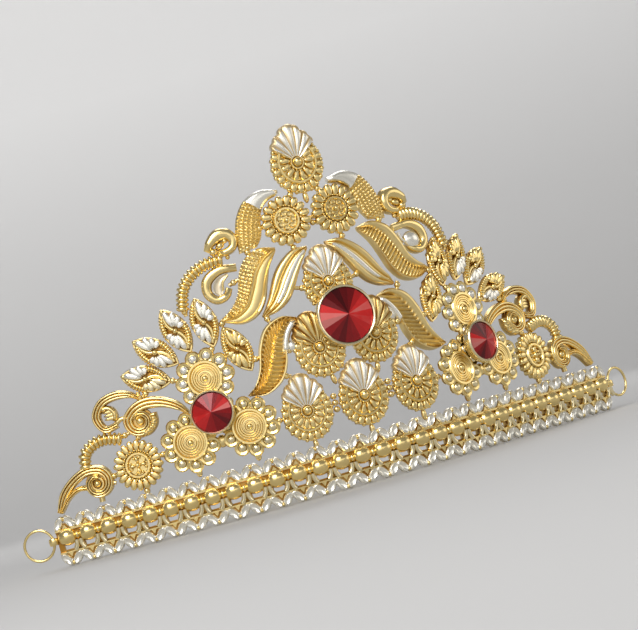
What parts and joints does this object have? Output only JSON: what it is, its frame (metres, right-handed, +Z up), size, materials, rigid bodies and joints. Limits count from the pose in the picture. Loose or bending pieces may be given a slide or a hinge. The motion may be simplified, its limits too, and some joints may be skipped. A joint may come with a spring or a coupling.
{
  "type": "bridal crown",
  "caption": "Bridal crown: an arched scalloped base band with a pointed openwork front of soldered rosettes, fans, leaves and scrolls, set with round red stones and a ring at each end.",
  "frame": {"origin": "on the surface that the crown stands on, below the middle of its bounding box", "axes": "+Z up, the front faces -Y, +X to the right as seen from the front"},
  "size_m": [0.1716, 0.0399, 0.091],
  "materials": {
    "polished_gold": "polished gold plating, worn a little darker in the recesses",
    "satin_gold": "engraved satin gold plating",
    "pale_gold": "bright pale gold plating",
    "white_rhodium": "bright white rhodium plating over the gold, on raised flutes and wires",
    "red_glass": "faceted foil-backed red glass"
  },
  "bodies": {
    "root": {"base_band": "polished_gold", "end_ring_left": "polished_gold", "end_ring_right": "polished_gold", "band_fan_middle": "polished_gold", "band_fan_left": "polished_gold", "cradle_fan_left": "polished_gold", "band_fan_right": "polished_gold", "cradle_fan_right": "polished_gold", "upper_fan": "polished_gold", "crest_fan": "polished_gold", "centre_setting": "pale_gold", "centre_stone": "red_glass", "side_left_setting": "pale_gold", "side_left_stone": "red_glass", "side_right_setting": "pale_gold", "side_right_stone": "red_glass", "crest_flower_left": "polished_gold", "end_rosette_left": "polished_gold", "trefoil_left": "polished_gold", "almond_left_1": "polished_gold", "almond_left_2": "polished_gold", "almond_left_3": "polished_gold", "almond_left_4": "polished_gold", "almond_left_5": "polished_gold", "lower_leaf_left": "satin_gold", "outer_leaf_left": "satin_gold", "inner_leaf_left": "satin_gold", "plume_left": "satin_gold", "shoulder_rope_left": "polished_gold", "end_rope_left": "polished_gold", "leaf_curl_left": "polished_gold", "shoulder_bud_left": "polished_gold", "end_scroll_left": "polished_gold", "curl_scroll_left": "polished_gold", "stem_scroll_left": "polished_gold", "crest_flower_right": "polished_gold", "end_rosette_right": "polished_gold", "trefoil_right": "polished_gold", "almond_right_1": "polished_gold", "almond_right_2": "polished_gold", "almond_right_3": "polished_gold", "almond_right_4": "polished_gold", "almond_right_5": "polished_gold", "lower_leaf_right": "satin_gold", "outer_leaf_right": "satin_gold", "inner_leaf_right": "satin_gold", "plume_right": "satin_gold", "shoulder_rope_right": "polished_gold", "end_rope_right": "polished_gold", "leaf_curl_right": "polished_gold", "shoulder_bud_right": "polished_gold", "end_scroll_right": "polished_gold", "curl_scroll_right": "polished_gold", "stem_scroll_right": "polished_gold"}
  },
  "joints": []
}
